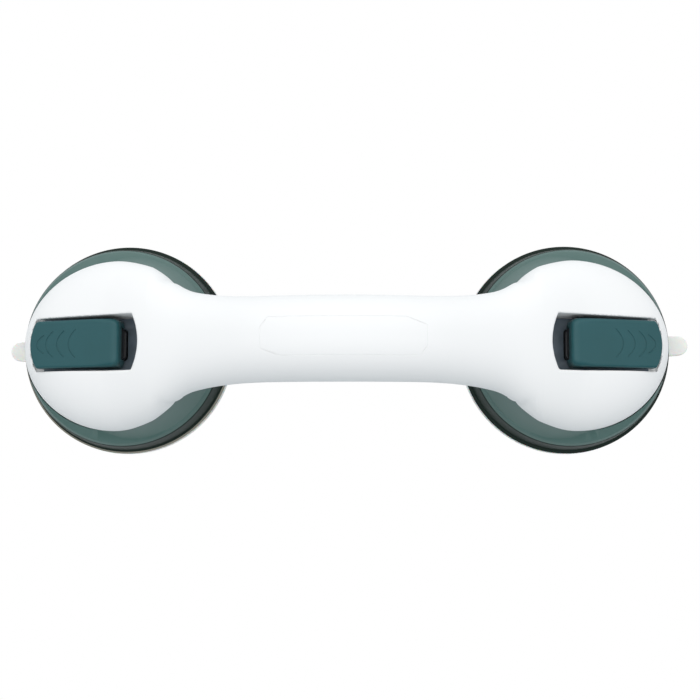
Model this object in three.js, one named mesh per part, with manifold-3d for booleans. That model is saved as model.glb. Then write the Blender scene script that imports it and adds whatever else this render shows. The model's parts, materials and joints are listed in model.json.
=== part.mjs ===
// Suction grab bar: an arched white grip whose two ends spread into hoods, each standing on a lever-locked
// suction cup. Units are millimetres. X runs along the bar, Y across it and Z away from the wall, which is Z = 0.
// Each cup works alone. A lever turns on a pin through the stem; its spiral cam bears on a wear plate and lifts
// the stem as the lever is pressed down, so the middle of the rubber pad is drawn off the wall.
import * as THREE from "three";
import { mergeVertices } from "three/addons/utils/BufferGeometryUtils.js";
import Module from "manifold-3d";

const wasm = await Module();
wasm.setup();

// ---------- driving dimensions ----------
const SIDES = ["left", "right"];
const CUP_X = 95.5; // from the middle of the bar to each cup's axis
const GAP = 0.3; // clearance between touching pieces
const WALL = 2.4; // moulded wall

// The bar: its top line is an arc, then a straight slope down over each cup.
const BAR_TOP = 78;
const ARCH_RADIUS = 108;
const SLOPE_ANGLE = THREE.MathUtils.degToRad(23.3);
const BAR_RISE = 14; // from the widest line up to the top line
const BAR_DEPTH = 12.5; // from the widest line down to the underside
const BAR_HALF_WIDTH = 16.9;
const BAR_ROUNDNESS = 2.3; // exponent of the section's superellipse
const FLARE_START = 22;
const FLARE_LENGTH = 54;
const FLARE_WIDTH = 8.5; // added to the half width at the flare's end
const BAR_FADE_START = 76; // inside the hood the bar shrinks away
const BAR_FADE_LENGTH = 34;
const BACK_END = 66; // the back cover stops here, under the hood

// The hood: a dome over an egg-shaped outline, cut off along a sloping edge.
const HOOD_SHIFT = 1.5; // the egg's widest place, outward from the cup's axis
const HOOD_OUT = 40.6;
const HOOD_IN = 34.5;
const HOOD_HALF_WIDTH = 35.7;
const HOOD_RISE = 20.3;
const HOOD_ROUNDNESS = 2.8;
const HOOD_EDGE_Z = 25.5; // of the hood's lower edge at the cup's axis
const HOOD_EDGE_SLOPE = 0.41; // its slope there, falling outward
const HOOD_EDGE_CURVE = 0.003; // and how it levels out, per millimetre
const FIELD_SCALE = 26; // turns the dome's normalised distance into about a millimetre
const BLEND = 2.2; // how softly bar and hood meet

// The lever's recess in the hood.
const RECESS_HALF_WIDTH = 11.4;
const RECESS_INNER = -12.6; // its curved inner end, from the cup's axis
const RECESS_CORNER = -9.8;
const RECESS_END_GAP = 0.7; // from the lever's tip to the recess's outer end
const END_BOW = 2.8; // how far the lever's tip and the recess's end bow outward
const FLOOR_Z = 29; // top of the moulded floor
const RAMP_START = 14;
const RAMP_END = 35;
const RAMP_DROP = 2.6;
const PLATE_THICKNESS = 1;
const PLATE_END = 31;

// Lever, cam and pin.
const PIN_Z = 37.5;
const PIN_RADIUS = 2;
const PIN_LENGTH = 19;
const LEVER_HALF_WIDTH = 10.1;
const EAR_INNER = 6.7; // inner face of the lever's two cam ears
const LEVER_TIP = 36.2;
const LEVER_TOP_RISE = 8.6; // of the top face above the pin
const LEVER_SLOPE = 0.4;
const LEVER_TIP_THICKNESS = 3.9;
const LEVER_SKIN = 2.2;
const CAM_PER_RADIAN = 1.9; // stem travel per radian of lever
const CAM_LOCKED = PIN_Z - (FLOOR_Z + PLATE_THICKNESS) - GAP; // cam radius under the pin, lever closed
const LEVER_OPEN = Math.PI / 2;

// Stem, washer and spring.
const STEM_HALF_WIDTH = 6.3;
const EYE_RADIUS = 4.3;
const NECK_HALF = 3;
const BLOCK_HALF = 4.3;
const BLOCK_BOTTOM = 27.9;
const BLOCK_TOP = 33;
const SHANK_RADIUS = 4.3;
const DISC_RADIUS = 13;
const DISC_BOTTOM = 6.5;
const DISC_TOP = 9;
const WASHER_Z = 12.3;
const WASHER_THICKNESS = 1;
const SPRING_RADIUS = 10.6;
const SPRING_WIRE = 0.7; // wire radius
const SPRING_TURNS = 3.5;

// Cup base.
const FLANGE_RADIUS = 45.3;
const FLANGE_Z = 4.2;
const SHOULDER_RADIUS = 41;
const SHOULDER_Z = 18.8;
const DECK_BOTTOM = 22;
const DECK_TOP = 24.5;
const DECK_RADIUS = 30;
const GUIDE_RADIUS = 8.2;
const GUIDE_BOTTOM = 16;
const COLLAR_LOW_Z = 20.5; // the collar's top never drops below this
const COLLAR_LOW_RADIUS = 38.5;

// Suction pad.
const PAD_RADIUS = 45.6;
const PAD_HOLLOW = 3;
const SEAL_INNER = 40.5;
const BOSS_RADIUS = 16;
const BOSS_TOP = 12;
const TAB_END = 54.5;
const TAB_HALF_WIDTH = 4.2;
const TAB_THICKNESS = 1.8;
const TAB_TURN = { left: 0.7, right: 2 }; // degrees each pad sits turned in its base

// Screws.
const BASE_SCREWS = [[-16, 20], [-16, -20], [14, 20], [14, -20]]; // outward, across, from the cup's axis
const BACK_SCREWS = [-50, -18, 18, 50]; // along the bar
const BOSS_SCREW_RADIUS = 3.6;
const SCREW_RADIUS = 1.5;
const SCREW_HEAD_RADIUS = 3;
const SCREW_HEAD = 2.2;
const SCREW_LENGTH = 11;
const BACK_SCREW_SINK = 4; // from the back cover's underside to the head's seat

const LOOKS = {
  white: { color: 0xf4f8f8, roughness: 0.18, metalness: 0 },
  green: { color: 0x35615f, roughness: 0.42, metalness: 0 },
  rubber: { color: 0xd9dcd4, roughness: 0.55, metalness: 0 },
  black: { color: 0x1b1c1e, roughness: 0.4, metalness: 0 },
  slate: { color: 0x6b737a, roughness: 0.5, metalness: 0 },
  steel: { color: 0xb9bcc0, roughness: 0.28, metalness: 1 },
};

// ---------- solids ----------
// A closed geometry as a manifold-3d solid: only positions stay, shared vertices merge, empty triangles go.
function solidFrom(geometry) {
  const bare = new THREE.BufferGeometry().setAttribute(
    "position",
    (geometry.index ? geometry.toNonIndexed() : geometry).getAttribute("position").clone(),
  );
  const merged = mergeVertices(bare, 1e-4);
  const corners = [];
  const index = merged.index.array;
  for (let i = 0; i < index.length; i += 3) {
    const [a, b, c] = [index[i], index[i + 1], index[i + 2]];
    if (a !== b && b !== c && c !== a) corners.push(a, b, c);
  }
  const build = (triVerts) =>
    new wasm.Manifold(
      new wasm.Mesh({
        numProp: 3,
        vertProperties: merged.attributes.position.array,
        triVerts: Uint32Array.from(triVerts),
      }),
    );
  const solid = build(corners);
  return solid.volume() > 0 ? solid : build(corners.reverse());
}

function geometryFrom(solid) {
  const mesh = solid.getMesh();
  const positions = new Float32Array(mesh.numVert * 3);
  for (let i = 0; i < mesh.numVert; i++) {
    positions.set(mesh.vertProperties.subarray(i * mesh.numProp, i * mesh.numProp + 3), i * 3);
  }
  const geometry = new THREE.BufferGeometry();
  geometry.setAttribute("position", new THREE.BufferAttribute(positions, 3));
  geometry.setIndex(new THREE.BufferAttribute(mesh.triVerts, 1));
  geometry.computeVertexNormals();
  return geometry;
}

// An outline extruded along Z between two heights.
function prism(shape, low, high, curveSegments = 8) {
  const geometry = new THREE.ExtrudeGeometry(shape, { depth: high - low, bevelEnabled: false, curveSegments });
  return solidFrom(geometry.translate(0, 0, low));
}

// A side outline, drawn as (outward, height), extruded across Y between two places.
function slab(shape, low, high, curveSegments = 8) {
  const geometry = new THREE.ExtrudeGeometry(shape, { depth: high - low, bevelEnabled: false, curveSegments });
  return solidFrom(geometry.rotateX(Math.PI / 2).translate(0, high, 0));
}

function rod(radius, low, high, segments = 16) {
  const geometry = new THREE.CylinderGeometry(radius, radius, high - low, segments);
  return solidFrom(geometry.rotateX(Math.PI / 2).translate(0, 0, (low + high) / 2));
}

// A profile of [radius, height] points turned about Z.
function turned(profile, segments = 36) {
  const points = profile.map(([r, z]) => new THREE.Vector2(r, z));
  return solidFrom(new THREE.LatheGeometry([...points, points[0].clone()], segments).rotateX(Math.PI / 2));
}

function polygon(points) {
  return new THREE.Shape(points.map(([x, y]) => new THREE.Vector2(x, y)));
}

function roundedRectangle(halfX, halfY, radius) {
  const shape = new THREE.Shape();
  shape.moveTo(-halfX + radius, -halfY);
  shape.lineTo(halfX - radius, -halfY);
  shape.absarc(halfX - radius, -halfY + radius, radius, -Math.PI / 2, 0);
  shape.lineTo(halfX, halfY - radius);
  shape.absarc(halfX - radius, halfY - radius, radius, 0, Math.PI / 2);
  shape.lineTo(-halfX + radius, halfY);
  shape.absarc(-halfX + radius, halfY - radius, radius, Math.PI / 2, Math.PI);
  shape.lineTo(-halfX, -halfY + radius);
  shape.absarc(-halfX + radius, -halfY + radius, radius, Math.PI, 1.5 * Math.PI);
  return shape;
}

// Rings of equal length joined in order, with a fan over each end.
function loft(rings) {
  const positions = [];
  const triangle = (...points) => points.forEach((p) => positions.push(p.x, p.y, p.z));
  const middle = (ring) => ring.reduce((sum, p) => sum.add(p), new THREE.Vector3()).divideScalar(ring.length);
  const count = rings[0].length;
  for (let i = 0; i + 1 < rings.length; i++) {
    for (let j = 0; j < count; j++) {
      const [a, b] = [rings[i][j], rings[i][(j + 1) % count]];
      const [c, d] = [rings[i + 1][j], rings[i + 1][(j + 1) % count]];
      triangle(a, b, d);
      triangle(a, d, c);
    }
  }
  const [first, last] = [rings[0], rings[rings.length - 1]];
  for (let j = 0; j < count; j++) {
    triangle(middle(first), first[(j + 1) % count], first[j]);
    triangle(middle(last), last[j], last[(j + 1) % count]);
  }
  const geometry = new THREE.BufferGeometry();
  geometry.setAttribute("position", new THREE.Float32BufferAttribute(positions, 3));
  return solidFrom(geometry);
}

const union = (solids) => solids.reduce((sum, solid) => sum.add(solid));
const cut = (solid, tools) => tools.reduce((rest, tool) => rest.subtract(tool), solid);

// ---------- the white body's surface ----------
function topLine(a) {
  const arcEnd = ARCH_RADIUS * Math.sin(SLOPE_ANGLE);
  if (a < arcEnd) return BAR_TOP - ARCH_RADIUS + Math.sqrt(ARCH_RADIUS ** 2 - a ** 2);
  return BAR_TOP - ARCH_RADIUS * (1 - Math.cos(SLOPE_ANGLE)) - Math.tan(SLOPE_ANGLE) * (a - arcEnd);
}

const widestLine = (a) => topLine(a) - BAR_RISE;
const hoodEdge = (a) => HOOD_EDGE_Z - HOOD_EDGE_SLOPE * (a - CUP_X) + HOOD_EDGE_CURVE * (a - CUP_X) ** 2;

// About the distance in millimetres from a point to the bar, negative inside. a is the distance from the middle.
function barField(a, y, z) {
  const flare = Math.max(0, (a - FLARE_START) / FLARE_LENGTH) ** 3;
  const fade = Math.sqrt(Math.max(1e-4, 1 - Math.max(0, (a - BAR_FADE_START) / BAR_FADE_LENGTH) ** 2));
  const width = (BAR_HALF_WIDTH + FLARE_WIDTH * Math.min(flare, 1.2)) * fade;
  const dz = z - widestLine(a);
  const height = (dz > 0 ? BAR_RISE : BAR_DEPTH) * fade;
  const n = BAR_ROUNDNESS;
  const reach = (Math.abs(y / width) ** n + Math.abs(dz / height) ** n) ** (1 / n);
  return (reach - 1) * BAR_RISE;
}

function hoodField(a, y, z) {
  const u = a - CUP_X - HOOD_SHIFT;
  const plan = Math.hypot(u / (u > 0 ? HOOD_OUT : HOOD_IN), y / HOOD_HALF_WIDTH);
  const rise = Math.max(0, (z - hoodEdge(a)) / HOOD_RISE);
  const n = HOOD_ROUNDNESS;
  return ((plan ** n + rise ** n) ** (1 / n) - 1) * FIELD_SCALE;
}

function bodyField(a, y, z) {
  const bar = barField(a, y, z);
  const hood = hoodField(a, y, z);
  const near = Math.max(BLEND - Math.abs(bar - hood), 0) / BLEND;
  return Math.min(bar, hood) - (near * near * BLEND) / 4;
}

// Distance from (0, base) to the surface at a level of the field, along an angle in the section at a.
function reachAt(field, a, base, angle, level) {
  let [low, high] = [0, 70];
  for (let i = 0; i < 40; i++) {
    const r = (low + high) / 2;
    const inside = field(a, r * Math.cos(angle), base + r * Math.sin(angle)) < level;
    if (inside) low = r;
    else high = r;
  }
  return low;
}

// Places of the sections from the middle of the bar to the hood's outer end, closer together at the end.
function stations(end, count, step) {
  const places = [];
  for (let i = 0; i <= count; i++) places.push(BACK_END + (end - BACK_END) * Math.sin((i / count) * (Math.PI / 2)));
  for (let a = 0; a < BACK_END - step / 2; a += step) places.push(a);
  return places.sort((p, q) => p - q);
}

// The white body above its lower edge, at a level of the field, reaching drop below that edge.
function upperBody(level, drop, around, along, step) {
  const end = CUP_X + HOOD_SHIFT + HOOD_OUT * (1 + level / FIELD_SCALE);
  const half = stations(end - 0.15, along, step).flatMap((a) =>
    a === BACK_END ? [[a - GAP, widestLine], [a, hoodEdge]] : [[a, a < BACK_END ? widestLine : hoodEdge]],
  );
  const places = [...half.slice(1).reverse().map(([a, edge]) => [-a, edge]), ...half];
  return loft(
    places.map(([x, edge]) => {
      const base = edge(Math.abs(x));
      const ring = [];
      for (let j = 0; j <= around; j++) {
        const angle = (j / around) * Math.PI;
        const r = reachAt(bodyField, Math.abs(x), base, angle, level);
        ring.push(new THREE.Vector3(x, r * Math.cos(angle), base + r * Math.sin(angle)));
      }
      const [right, left] = [ring[0], ring[around]];
      for (const t of [0, 0.5, 1]) ring.push(new THREE.Vector3(x, left.y + (right.y - left.y) * t, base - drop));
      return ring;
    }),
  );
}

// The bar below its widest line, out to an end on each side.
function lowerBody(level, end, top, around, step) {
  const places = [];
  for (let x = -end; x < end + step / 2; x += step) places.push(Math.min(x, end));
  return loft(
    places.map((x) => {
      const base = widestLine(Math.abs(x));
      const ring = [];
      for (let j = 0; j <= around; j++) {
        const angle = Math.PI + (j / around) * Math.PI;
        const r = reachAt(barField, Math.abs(x), base, angle, level);
        ring.push(new THREE.Vector3(x, r * Math.cos(angle), base + r * Math.sin(angle)));
      }
      ring.push(new THREE.Vector3(x, ring[around].y, base + top), new THREE.Vector3(x, ring[0].y, base + top));
      return ring;
    }),
  );
}

// ---------- white pieces ----------
// The recess that the lever lies in, grown sideways and downwards by a margin.
function recess(margin) {
  const plan = new THREE.Shape();
  const [w, corner, bulge] = [RECESS_HALF_WIDTH + margin, RECESS_CORNER - margin, RECESS_INNER - margin];
  const end = LEVER_TIP + RECESS_END_GAP + margin;
  plan.moveTo(corner, -w);
  plan.lineTo(end - END_BOW, -w);
  plan.quadraticCurveTo(end + END_BOW, 0, end - END_BOW, w);
  plan.lineTo(corner, w);
  plan.quadraticCurveTo(2 * bulge - corner, 0, corner, -w);
  return prism(plan, 0, 90, 6).intersect(slab(aboveFloor(-margin, 90), -40, 40));
}

// A side outline from the recess's floor, raised by lift, up to a height: flat, then a ramp down outward.
function aboveFloor(lift, top) {
  const floor = FLOOR_Z + lift;
  const slope = RAMP_DROP / (RAMP_END - RAMP_START);
  return polygon([
    [-40, floor],
    [RAMP_START, floor],
    [60, floor - slope * (60 - RAMP_START)],
    [60, top],
    [-40, top],
  ]);
}

function recessWalls() {
  return recess(WALL - 0.2).intersect(prism(polygon([[-30, -30], [41, -30], [41, 30], [-30, 30]]), 0, 90));
}

// Something drawn about one cup's axis with +X outward, at both cups.
function bothCups(solid) {
  return [solid.translate([CUP_X, 0, 0]), solid.rotate([0, 0, 180]).translate([-CUP_X, 0, 0])];
}

function handleShell() {
  const outer = upperBody(0, 0, 20, 12, 13.2);
  const within = upperBody(-WALL / 2, 14, 12, 8, 16.5);
  const cavity = upperBody(-WALL, 1, 12, 9, 16.5);
  const baseBosses = BASE_SCREWS.map(([u, y]) => rod(BOSS_SCREW_RADIUS, DECK_TOP + GAP, 60, 10).translate([u, y, 0]));
  const backBosses = BACK_SCREWS.map((x) =>
    rod(BOSS_SCREW_RADIUS, widestLine(Math.abs(x)) - 2, 80, 10).translate([x, 0, 0]),
  );
  const ribs = [-34, 0, 34].map((x) =>
    solidFrom(new THREE.BoxGeometry(1.8, 40, 20).translate(x, 0, widestLine(Math.abs(x)) + GAP + 10)),
  );
  const inner = union([...bothCups(union([recessWalls(), ...baseBosses])), ...backBosses, ...ribs]).intersect(within);
  const basePilots = BASE_SCREWS.map(([u, y]) =>
    rod(SCREW_RADIUS + GAP, 0, DECK_BOTTOM + SCREW_LENGTH + 1, 8).translate([u, y, 0]),
  );
  const backPilots = BACK_SCREWS.map((x) =>
    rod(SCREW_RADIUS + GAP, 0, backScrewSeat(x) + SCREW_LENGTH + 1, 8).translate([x, 0, 0]),
  );
  return cut(outer.subtract(cavity).add(inner), [
    ...bothCups(union([recess(0), stemHole(0, 60), ...basePilots])),
    ...backPilots,
  ]);
}

function stemHole(low, high) {
  return prism(roundedRectangle(BLOCK_HALF + GAP, STEM_HALF_WIDTH + GAP, 1.8), low, high, 3);
}

const backScrewSeat = (x) => widestLine(Math.abs(x)) - BAR_DEPTH + BACK_SCREW_SINK;

function handleBack() {
  const end = BACK_END - 2 * GAP;
  const outer = lowerBody(0, end, -GAP, 12, 13.08);
  const cavity = lowerBody(-WALL, end + 2, 2, 8, 16.8);
  const posts = BACK_SCREWS.map((x) =>
    rod(BOSS_SCREW_RADIUS + 1.6, 0, backScrewSeat(x) + 2, 12).translate([x, 0, 0]).intersect(outer),
  );
  const holes = BACK_SCREWS.flatMap((x) => [
    rod(SCREW_RADIUS + GAP, 0, 90, 8).translate([x, 0, 0]),
    rod(SCREW_HEAD_RADIUS + GAP, 0, backScrewSeat(x), 12).translate([x, 0, 0]),
  ]);
  return cut(outer.subtract(cavity).add(union(posts)), holes);
}

// ---------- cup base ----------
// The hood's outline about the cup's axis, shrunk by an inset, with the height of the hood's lower edge there.
function hoodOutline(angle, inset) {
  const out = Math.cos(angle) > 0 ? HOOD_OUT : HOOD_IN;
  const u = HOOD_SHIFT + (out - inset) * Math.cos(angle);
  return { u, y: (HOOD_HALF_WIDTH - inset) * Math.sin(angle), z: hoodEdge(CUP_X + u) };
}

// The wedge that carries the hood: from the round shoulder up to the hood's sloping outline.
function collar() {
  const count = 36;
  const [foot, shoulder, top] = [[], [], []];
  for (let j = 0; j < count; j++) {
    const angle = (j / count) * 2 * Math.PI;
    const edge = hoodOutline(angle, 0);
    const [c, s] = [Math.cos(angle), Math.sin(angle)];
    const high = edge.z > COLLAR_LOW_Z;
    foot.push(new THREE.Vector3((SHOULDER_RADIUS - 2) * c, (SHOULDER_RADIUS - 2) * s, SHOULDER_Z - 4));
    shoulder.push(new THREE.Vector3((SHOULDER_RADIUS - 0.6) * c, (SHOULDER_RADIUS - 0.6) * s, SHOULDER_Z));
    top.push(
      high
        ? new THREE.Vector3(edge.u, edge.y, edge.z)
        : new THREE.Vector3(COLLAR_LOW_RADIUS * c, COLLAR_LOW_RADIUS * s, COLLAR_LOW_Z),
    );
  }
  return loft([foot, shoulder, top]);
}

function collarHollow() {
  const outline = new THREE.Shape();
  const inset = 3.4;
  outline.absellipse(HOOD_SHIFT, 0, HOOD_IN - inset, HOOD_HALF_WIDTH - inset, 0, 2 * Math.PI);
  return prism(outline, DECK_TOP, 70, 18);
}

function baseRing() {
  const wall = turned([
    [0, FLANGE_Z + 4],
    [41.4, FLANGE_Z + 4],
    [41.4, FLANGE_Z],
    [FLANGE_RADIUS, FLANGE_Z],
    [FLANGE_RADIUS, 6],
    [43.9, 6.6],
    [42, 17],
    [SHOULDER_RADIUS, SHOULDER_Z],
    [DECK_RADIUS, DECK_TOP],
    [0, DECK_TOP],
  ]);
  const chamber = turned([
    [0, 0],
    [41.4, 0],
    [41.4, 6.6],
    [39, 16.5],
    [DECK_RADIUS - 1, DECK_BOTTOM],
    [0, DECK_BOTTOM],
  ]);
  const guide = rod(GUIDE_RADIUS, GUIDE_BOTTOM, DECK_TOP, 24);
  const holes = BASE_SCREWS.map(([u, y]) => rod(SCREW_RADIUS + GAP, 0, 60, 8).translate([u, y, 0]));
  const body = wall.add(collar()).subtract(collarHollow()).subtract(chamber);
  const clearance = whiteClearance().map((solid) => solid.translate([-CUP_X, 0, 0]));
  return cut(body.add(guide), [...clearance, rod(SHANK_RADIUS + GAP, 0, 60, 24), ...holes]);
}

// What the base keeps clear of: the hood's skirt and the back cover, a little larger than they are.
function whiteClearance() {
  const skirt = upperBody(GAP, GAP, 20, 12, 13.2).subtract(upperBody(-5.2, 3, 12, 9, 16.5));
  return [skirt, lowerBody(GAP, BACK_END + 2, 2, 12, 17)];
}

// ---------- rubber pad ----------
function suctionPad() {
  const disc = turned([
    [0, PAD_HOLLOW],
    [12, PAD_HOLLOW - 0.2],
    [30, 1.4],
    [SEAL_INNER - 1, 0.35],
    [SEAL_INNER, 0],
    [PAD_RADIUS - 0.7, 0],
    [PAD_RADIUS, 0.7],
    [PAD_RADIUS, 2.2],
    [PAD_RADIUS - 0.8, 3.4],
    [PAD_RADIUS - 3, 3.8],
    [34, 4.4],
    [20, 7],
    [BOSS_RADIUS, 8.6],
    [BOSS_RADIUS, BOSS_TOP - 0.8],
    [BOSS_RADIUS - 0.8, BOSS_TOP],
    [SHANK_RADIUS + GAP, BOSS_TOP],
    [SHANK_RADIUS + GAP, DISC_TOP + GAP],
    [DISC_RADIUS + GAP, DISC_TOP + GAP],
    [DISC_RADIUS + GAP, DISC_BOTTOM - GAP],
    [0, DISC_BOTTOM - GAP],
  ]);
  const outline = new THREE.Shape();
  outline.moveTo(PAD_RADIUS - 4, -TAB_HALF_WIDTH);
  outline.lineTo(TAB_END - TAB_HALF_WIDTH, -TAB_HALF_WIDTH);
  outline.absarc(TAB_END - TAB_HALF_WIDTH, 0, TAB_HALF_WIDTH, -Math.PI / 2, Math.PI / 2);
  outline.lineTo(PAD_RADIUS - 4, TAB_HALF_WIDTH);
  const tab = prism(outline, 0.6, 0.6 + TAB_THICKNESS, 8);
  return disc.add(tab);
}

// ---------- locking mechanism, drawn about the cup's axis with +X outward ----------
function stem() {
  const shank = turned(
    [
      [0, DISC_BOTTOM],
      [DISC_RADIUS - 0.6, DISC_BOTTOM],
      [DISC_RADIUS, DISC_BOTTOM + 0.6],
      [DISC_RADIUS, DISC_TOP],
      [SHANK_RADIUS, DISC_TOP],
      [SHANK_RADIUS, BLOCK_BOTTOM + 1],
      [0, BLOCK_BOTTOM + 1],
    ],
    24,
  );
  const block = prism(roundedRectangle(BLOCK_HALF, STEM_HALF_WIDTH, 1.5), BLOCK_BOTTOM, BLOCK_TOP, 3);
  const neckBase = BLOCK_TOP - 1;
  const neck = solidFrom(
    new THREE.BoxGeometry(2 * NECK_HALF, 2 * STEM_HALF_WIDTH, PIN_Z - neckBase).translate(0, 0, (PIN_Z + neckBase) / 2),
  );
  const eye = crossRod(EYE_RADIUS, STEM_HALF_WIDTH, 24).translate([0, 0, PIN_Z]);
  const bore = crossRod(PIN_RADIUS + GAP, 20, 16).translate([0, 0, PIN_Z]);
  return cut(union([shank, block, neck, eye]), [bore]);
}

// A rod along Y.
function crossRod(radius, half, segments) {
  return solidFrom(new THREE.CylinderGeometry(radius, radius, 2 * half, segments));
}

// The lever is drawn about its pin. Its cam is a spiral: with the lever raised by an angle, its lowest point is
// CAM_LOCKED less CAM_PER_RADIAN times that angle below the pin.
function camPoint(angle) {
  const reach = CAM_LOCKED - CAM_PER_RADIAN * angle;
  const [s, c] = [Math.sin(angle), Math.cos(angle)];
  return [CAM_PER_RADIAN * c - reach * s, -reach * c - CAM_PER_RADIAN * s];
}

const leverTop = (u) => LEVER_TOP_RISE - LEVER_SLOPE * u;

function leverSide() {
  const cam = [];
  for (let i = 0; i <= 12; i++) cam.push(camPoint((i / 12) * LEVER_OPEN));
  const [endX, endZ] = cam[12];
  const tipLow = leverTop(LEVER_TIP) - LEVER_TIP_THICKNESS;
  const shape = new THREE.Shape();
  shape.moveTo(...cam[0]);
  cam.slice(1).forEach((p) => shape.lineTo(...p));
  shape.lineTo(endX, endZ + 3.5);
  shape.bezierCurveTo(endX, endZ + 8, endX + 1.6, leverTop(0) + 0.6, 1, leverTop(1));
  shape.lineTo(LEVER_TIP - 1.2, leverTop(LEVER_TIP - 1.2));
  shape.quadraticCurveTo(LEVER_TIP + 0.4, leverTop(LEVER_TIP), LEVER_TIP, tipLow + 1.6);
  shape.lineTo(LEVER_TIP - 0.8, tipLow);
  shape.lineTo(RAMP_START, -CAM_LOCKED);
  return shape;
}

function lever() {
  const plan = new THREE.Shape();
  const [w, tip, inner] = [LEVER_HALF_WIDTH, LEVER_TIP, -7];
  plan.moveTo(inner, -w + 3);
  plan.quadraticCurveTo(inner, -w, inner + 3.5, -w);
  plan.lineTo(tip - END_BOW, -w);
  plan.quadraticCurveTo(tip + END_BOW, 0, tip - END_BOW, w);
  plan.lineTo(inner + 3.5, w);
  plan.quadraticCurveTo(inner, w, inner, w - 3);
  const blank = slab(leverSide(), -w, w, 5).intersect(prism(plan, -20, 20, 7));
  const hollowRoof = leverTop(0) - LEVER_SKIN - 0.5;
  const hollow = slab(
    polygon([
      [-20, -20],
      [-20, NECK_HALF + 0.5],
      [-3.2, NECK_HALF + 0.5],
      [-1.4, hollowRoof],
      [2, hollowRoof],
      [LEVER_TIP - 6, leverTop(LEVER_TIP - 6) - LEVER_SKIN],
      [LEVER_TIP - 6, -20],
    ]),
    -EAR_INNER,
    EAR_INNER,
  );
  return cut(blank, [hollow, crossRod(PIN_RADIUS + GAP, 20, 16)]);
}

function wearPlate() {
  const half = RECESS_HALF_WIDTH - GAP;
  const plan = new THREE.Shape();
  const [corner, bulge] = [RECESS_CORNER + GAP, RECESS_INNER + GAP];
  plan.moveTo(corner, -half);
  plan.lineTo(PLATE_END, -half);
  plan.lineTo(PLATE_END, half);
  plan.lineTo(corner, half);
  plan.quadraticCurveTo(2 * bulge - corner, 0, corner, -half);
  const sheet = prism(plan, 0, 60, 6).intersect(slab(aboveFloor(GAP, 60), -40, 40));
  return cut(sheet, [slab(aboveFloor(PLATE_THICKNESS, 70), -40, 40), stemHole(0, 60)]);
}

function springWasher() {
  const hole = SHANK_RADIUS + GAP;
  return turned(
    [
      [hole, 0],
      [DISC_RADIUS, 0],
      [DISC_RADIUS, WASHER_THICKNESS],
      [hole, WASHER_THICKNESS],
    ],
    24,
  );
}

// A round wire wound from its foot at Z = 0 up to the deck.
function returnSpring() {
  const low = SPRING_WIRE;
  const high = DECK_BOTTOM - WASHER_Z - WASHER_THICKNESS - 2 * GAP - SPRING_WIRE;
  const around = 12;
  const rings = [];
  for (let i = 0; i <= SPRING_TURNS * around; i++) {
    const turn = i / around;
    const centre = new THREE.Vector3(SPRING_RADIUS, 0, low + ((high - low) * turn) / SPRING_TURNS);
    const ring = [];
    for (let j = 0; j < 6; j++) {
      const angle = (j / 6) * 2 * Math.PI;
      const offset = new THREE.Vector3(SPRING_WIRE * Math.cos(angle), 0, SPRING_WIRE * Math.sin(angle));
      ring.push(centre.clone().add(offset).applyAxisAngle(new THREE.Vector3(0, 0, 1), turn * 2 * Math.PI));
    }
    rings.push(ring);
  }
  return loft(rings);
}

// A pan-head screw standing on its head: the head's seat is at Z = 0 and the shank runs up.
function screw() {
  const body = turned(
    [
      [0, -SCREW_HEAD],
      [SCREW_HEAD_RADIUS - 1, -SCREW_HEAD],
      [SCREW_HEAD_RADIUS, -SCREW_HEAD + 1],
      [SCREW_HEAD_RADIUS, -0.1],
      [SCREW_RADIUS, -0.1],
      [SCREW_RADIUS, SCREW_LENGTH - 2],
      [0, SCREW_LENGTH],
    ],
    10,
  );
  const slots = [
    [0.9, 3.6],
    [3.6, 0.9],
  ].map(([x, y]) => solidFrom(new THREE.BoxGeometry(x, y, 2).translate(0, 0, -SCREW_HEAD)));
  return cut(body, slots);
}

// ---------- assembly ----------
function piece(name, solid, look, position = [0, 0, 0]) {
  const mesh = new THREE.Mesh(geometryFrom(solid), new THREE.MeshStandardMaterial(LOOKS[look]));
  mesh.name = name;
  mesh.position.set(...position);
  return mesh;
}

const grabBar = new THREE.Group();
grabBar.name = "suction_grab_bar";
grabBar.add(piece("handle_shell", handleShell(), "white"));
grabBar.add(piece("handle_back", handleBack(), "white"));
BACK_SCREWS.forEach((x, i) => {
  grabBar.add(piece(`back_screw_${i + 1}`, screw(), "steel", [x, 0, backScrewSeat(x) - GAP]));
});

// Each cup is built with +X outward; the left one is turned half round.
const ring = baseRing();
for (const side of SIDES) {
  const cup = new THREE.Group();
  const pad = piece(`${side}_suction_pad`, suctionPad(), "rubber");
  pad.rotation.z = THREE.MathUtils.degToRad(TAB_TURN[side]);
  cup.add(pad);
  cup.add(piece(`${side}_base_ring`, ring, "green"));
  cup.add(piece(`${side}_wear_plate`, wearPlate(), "slate"));
  cup.add(piece(`${side}_stem`, stem(), "black"));
  cup.add(piece(`${side}_spring_washer`, springWasher(), "steel", [0, 0, WASHER_Z]));
  cup.add(piece(`${side}_return_spring`, returnSpring(), "steel", [0, 0, WASHER_Z + WASHER_THICKNESS + GAP]));
  cup.add(piece(`${side}_lever`, lever(), "green", [0, 0, PIN_Z]));
  cup.add(piece(`${side}_pivot_pin`, crossRod(PIN_RADIUS, PIN_LENGTH / 2, 16), "steel", [0, 0, PIN_Z]));
  BASE_SCREWS.forEach(([u, y], i) => {
    cup.add(piece(`${side}_base_screw_${i + 1}`, screw(), "steel", [u, y, DECK_BOTTOM - GAP]));
  });
  cup.position.x = side === "right" ? CUP_X : -CUP_X;
  cup.rotation.z = side === "right" ? 0 : Math.PI;
  grabBar.add(cup);
}

export default grabBar;
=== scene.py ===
"""A suction grab bar: an arched white grip whose ends spread into hoods, each over a lever-locked cup.

Shapes are worked out in millimetres and become metres as their meshes are made. X runs along the bar, Y
across it and Z away from the wall, which is Z = 0. A cup's own pieces are drawn at the right cup, +X outward.
"""

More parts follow.
